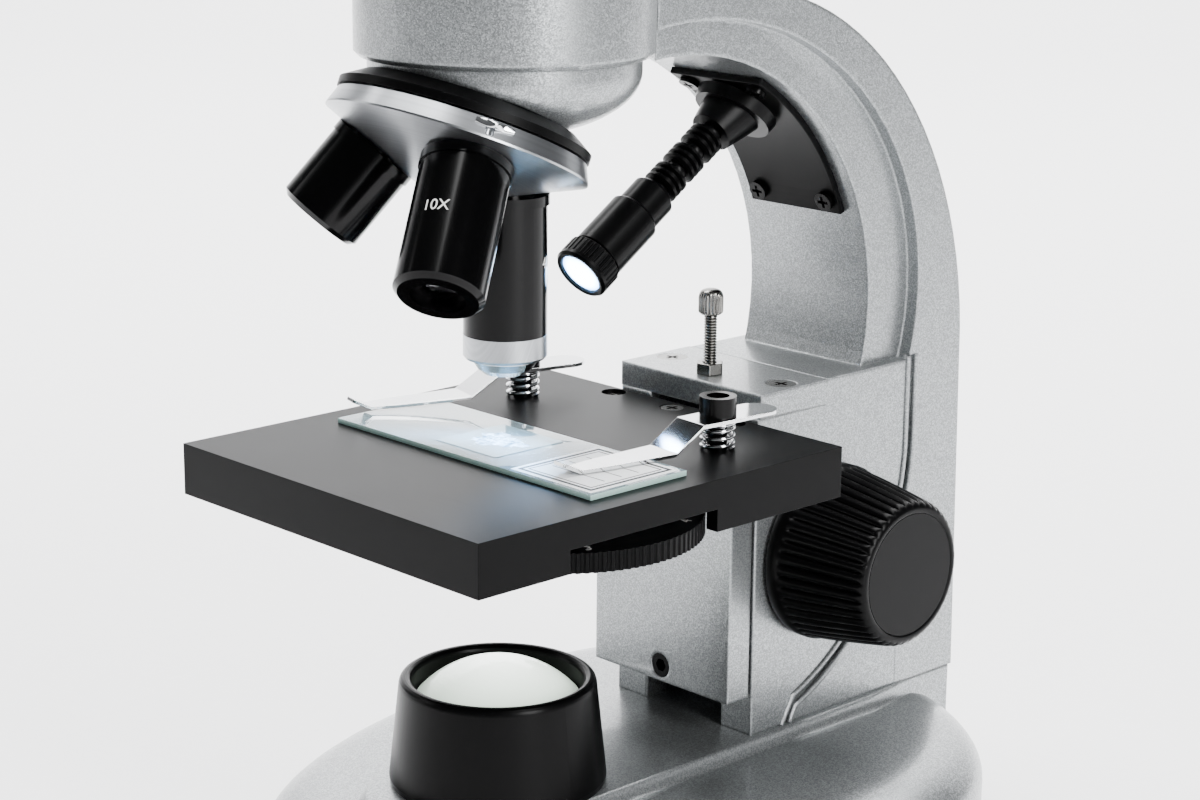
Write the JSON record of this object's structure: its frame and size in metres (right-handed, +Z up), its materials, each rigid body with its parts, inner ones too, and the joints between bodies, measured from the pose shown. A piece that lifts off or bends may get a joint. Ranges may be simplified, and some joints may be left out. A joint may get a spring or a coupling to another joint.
{
  "type": "compound microscope",
  "caption": "Student compound microscope with a tilting gooseneck lamp, focusing stage, rotating objectives and an inclined head on a curved arm.",
  "frame": {"origin": "on the table, below the middle of the microscope's bounding box", "axes": "+Z up, -Y towards the front (the base's nose and the stage), +X to the right seen from the front, so the near focus knob is on +X"},
  "size_m": [0.124, 0.1727, 0.2719],
  "materials": {
    "silver_paint": "metallic flake lacquer, glossy",
    "stage_black": "matte fine-textured black",
    "satin_black": "satin",
    "gloss_black": "gloss lacquer",
    "feet_rubber": "matte",
    "chrome_trim": "bright plated",
    "turret_alloy": "satin, turned",
    "nickel_screws": "nickel plated, turned",
    "black_screws": "black oxide",
    "drive_steel": "machined, greased",
    "bush_brass": "turned",
    "slide_glass": "polished, clear",
    "optic_glass": "coated, polished",
    "lamp_lens": "clear, lit from behind",
    "dome_lens": "frosted, lit from below",
    "lamp_board": "solder mask",
    "cell_sleeve": "printed film"
  },
  "bodies": {
    "stand": {"base_casting": "silver_paint", "base_plate": "satin_black", "base_screws": "nickel_screws", "rubber_feet": "feet_rubber", "batteries": "cell_sleeve", "column_screws": "nickel_screws", "switch_frame": "satin_black", "illuminator_housing": "satin_black", "illuminator_lens": "dome_lens", "illuminator_board": "lamp_board", "arm_casting": "silver_paint", "cover_plate": "silver_paint", "cover_screws": "nickel_screws", "stop_nut": "nickel_screws", "shaft_bushes": "bush_brass", "lamp_plate": "stage_black", "lamp_plate_screws": "black_screws", "lamp_socket": "satin_black", "head_drum": "silver_paint", "head_bowl": "silver_paint", "nosepiece_ring": "stage_black", "turret_screw": "nickel_screws", "click_spring": "chrome_trim"},
    "battery_door": {"battery_door": "satin_black"},
    "switch": {"switch_rocker": "gloss_black"},
    "stop_screw": {"stop_screw": "nickel_screws"},
    "focus_knobs": {"pinion_shaft": "drive_steel", "knob_right": "satin_black", "knob_left": "satin_black", "knob_caps": "satin_black"},
    "stage": {"focus_block": "silver_paint", "rack": "drive_steel", "block_screw": "black_screws", "stage_plate": "stage_black", "stage_screws": "nickel_screws", "disc_screw": "nickel_screws", "clip_posts": "black_screws", "clip_springs": "chrome_trim"},
    "diaphragm": {"diaphragm_disc": "stage_black"},
    "clip_left": {"clip_left": "chrome_trim"},
    "clip_right": {"clip_right": "chrome_trim"},
    "slide": {"specimen_slide": "slide_glass"},
    "neck_lower": {"gooseneck_3": "satin_black"},
    "neck_middle": {"gooseneck_2": "satin_black"},
    "neck_upper": {"gooseneck_1": "satin_black"},
    "lamp": {"lamp_body": "satin_black"},
    "lamp_ring": {"lamp_bezel": "satin_black", "lamp_lens": "lamp_lens"},
    "turret": {"turret": "turret_alloy", "objective_4x": "gloss_black", "objective_10x": "gloss_black", "objective_40x": "gloss_black", "objective_40x_ring": "turret_alloy"},
    "objective_tip": {"objective_40x_tip": "chrome_trim"},
    "head": {"head_body": "silver_paint", "eyepiece_tube": "gloss_black", "prism": "optic_glass"},
    "eyepiece": {"eyepiece": "gloss_black", "eyepiece_lens": "optic_glass"},
    "head_screw": {"head_screw": "satin_black"}
  },
  "joints": [
    {"name": "knob_turn", "type": "hinge", "parent": "stand", "child": "focus_knobs", "pos_m": [0, 0.0376, 0.0697], "axis": [1, 0, 0], "range_deg": [-149.71, 95.99]},
    {"name": "stage_slide", "type": "slide", "parent": "stand", "child": "stage", "axis": [0, 0, 1], "range_m": [-0.008, 0.0125]},
    {"name": "turret_turn", "type": "hinge", "parent": "stand", "child": "turret", "pos_m": [0, -0.04841, 0.16451], "axis": [0, -0.4003, -0.9164], "continuous": true},
    {"name": "tip_press", "type": "slide", "parent": "turret", "child": "objective_tip", "axis": [0, 0, 1], "range_m": [0, 0.003], "stiffness_N_per_m": 400, "springref_m": -0.002},
    {"name": "head_turn", "type": "hinge", "parent": "stand", "child": "head", "pos_m": [0, -0.0364, 0.2005], "axis": [0, 0, 1], "continuous": true},
    {"name": "eyepiece_pull", "type": "slide", "parent": "head", "child": "eyepiece", "axis": [0, 0.7071, 0.7071], "range_m": [0, 0.02]},
    {"name": "head_screw_turn", "type": "hinge", "parent": "stand", "child": "head_screw", "pos_m": [-0.03, -0.0364, 0.1945], "axis": [-1, 0, 0], "range_deg": [-720, 90]},
    {"name": "diaphragm_turn", "type": "hinge", "parent": "stage", "child": "diaphragm", "pos_m": [0.0155, -0.0364, 0.09], "axis": [0, 0, 1], "continuous": true},
    {"name": "clip_left_swing", "type": "hinge", "parent": "stage", "child": "clip_left", "pos_m": [-0.0291, -0.0055, 0.108], "axis": [0, 0, 1], "range_deg": [-30, 28]},
    {"name": "clip_right_swing", "type": "hinge", "parent": "stage", "child": "clip_right", "pos_m": [0.0291, -0.0055, 0.108], "axis": [0, 0, 1], "range_deg": [-24, 38]},
    {"name": "slide_shift", "type": "slide", "parent": "stage", "child": "slide", "axis": [1, 0, 0], "range_m": [-0.012, 0.012]},
    {"name": "stop_screw_turn", "type": "hinge", "parent": "stand", "child": "stop_screw", "pos_m": [0, 0.0223, 0.115], "axis": [0, 0, 1], "continuous": true},
    {"name": "neck_pitch", "type": "hinge", "parent": "stand", "child": "neck_upper", "pos_m": [0, 0.02126, 0.15973], "axis": [1, 0, 0], "range_deg": [-12, 12]},
    {"name": "neck_yaw", "type": "hinge", "parent": "neck_upper", "child": "neck_middle", "pos_m": [0, 0.01613, 0.15625], "axis": [0, -0.5606, 0.8281], "range_deg": [-15, 15]},
    {"name": "neck_pitch_low", "type": "hinge", "parent": "neck_middle", "child": "neck_lower", "pos_m": [0, 0.01099, 0.15278], "axis": [1, 0, 0], "range_deg": [-12, 12]},
    {"name": "lamp_yaw", "type": "hinge", "parent": "neck_lower", "child": "lamp", "pos_m": [0, 0.00586, 0.1493], "axis": [0, -0.5606, 0.8281], "range_deg": [-12, 12]},
    {"name": "lamp_ring_twist", "type": "hinge", "parent": "lamp", "child": "lamp_ring", "pos_m": [0, -0.01352, 0.13618], "axis": [0, 0.8281, 0.5606], "range_deg": [-90, 90]},
    {"name": "switch_rock", "type": "hinge", "parent": "stand", "child": "switch", "pos_m": [0, 0.0807, 0.054], "axis": [1, 0, 0], "range_deg": [-24, 0]},
    {"name": "door_slide", "type": "slide", "parent": "stand", "child": "battery_door", "axis": [0, 1, 0], "range_m": [0, 0.03]}
  ],
  "couplings": [
    {"joint": "knob_turn", "follows": "stage_slide", "rad_per_m": -208.33}
  ]
}
